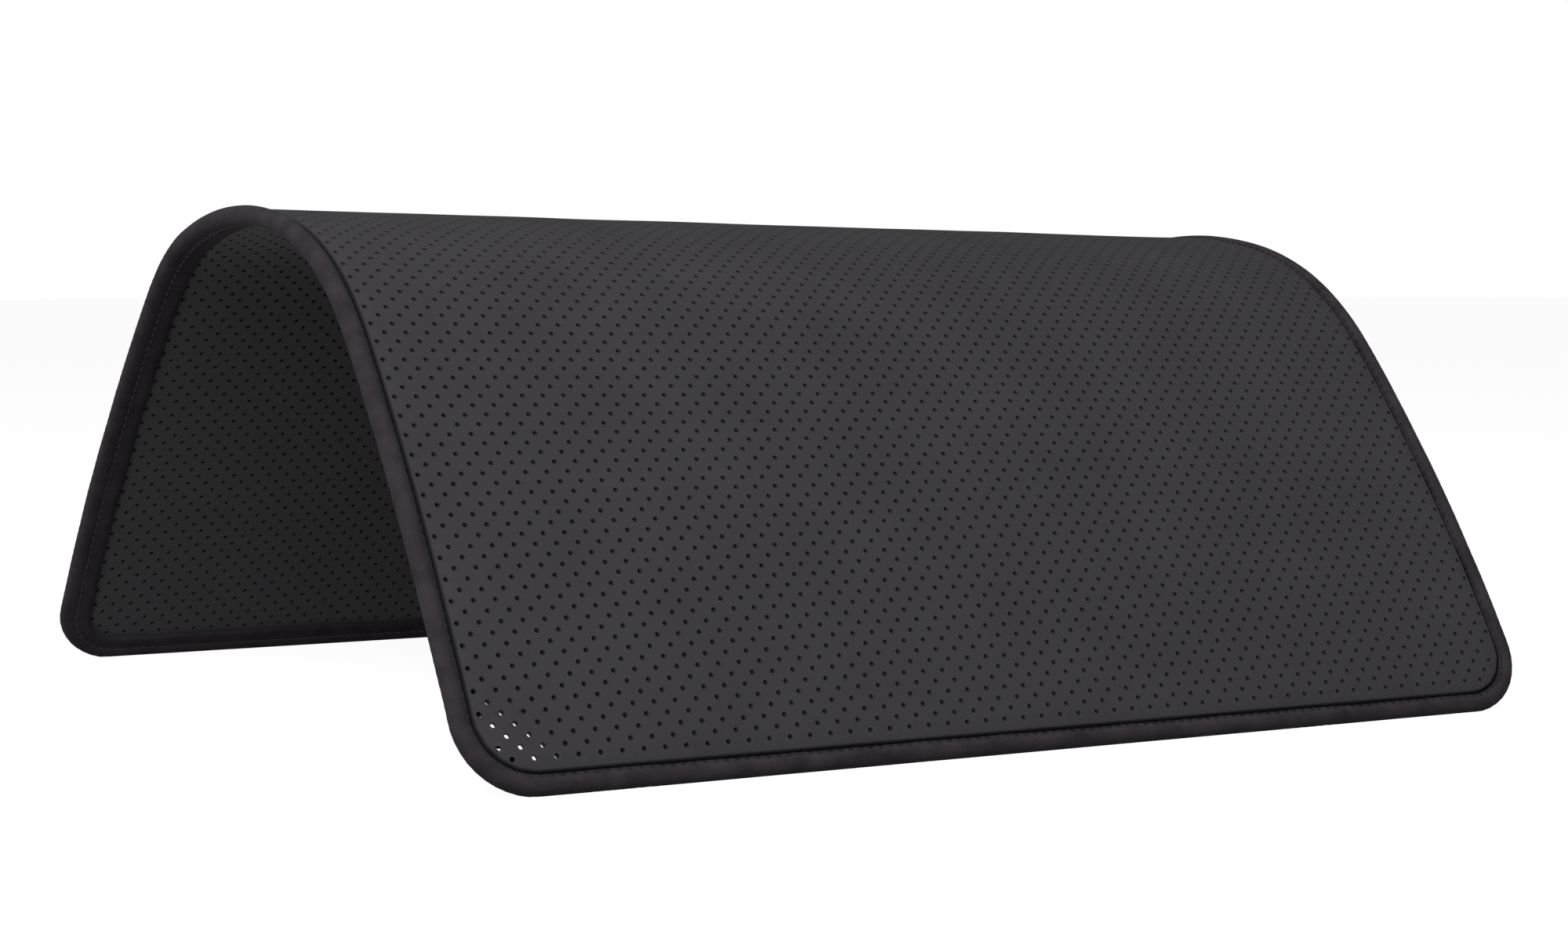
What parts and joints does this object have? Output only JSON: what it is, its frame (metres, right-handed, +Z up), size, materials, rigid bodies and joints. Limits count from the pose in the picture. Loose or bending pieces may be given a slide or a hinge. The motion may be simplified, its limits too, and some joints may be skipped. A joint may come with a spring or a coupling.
{
  "type": "perforated non-slip pad",
  "caption": "Perforated sponge-rubber non-slip pad with rounded corners and a sewn fabric edge binding, bent into a free-standing arch.",
  "frame": {"origin": "on the floor, under the middle of the arch's bounding box", "axes": "+X along the ridge, from the higher end to the lower end; -Y towards the front foot and +Y towards the back foot; +Z up"},
  "size_m": [0.45, 0.4382, 0.1927],
  "materials": {
    "sponge_rubber": "matt charcoal sponge rubber with punched holes",
    "binding_tape": "matt black brushed knitted tape",
    "seam_thread": "black polyester sewing thread"
  },
  "bodies": {
    "root": {"perforated_pad": "sponge_rubber", "edge_binding": "binding_tape", "seam_thread_outer": "seam_thread", "seam_thread_inner": "seam_thread"}
  },
  "joints": []
}
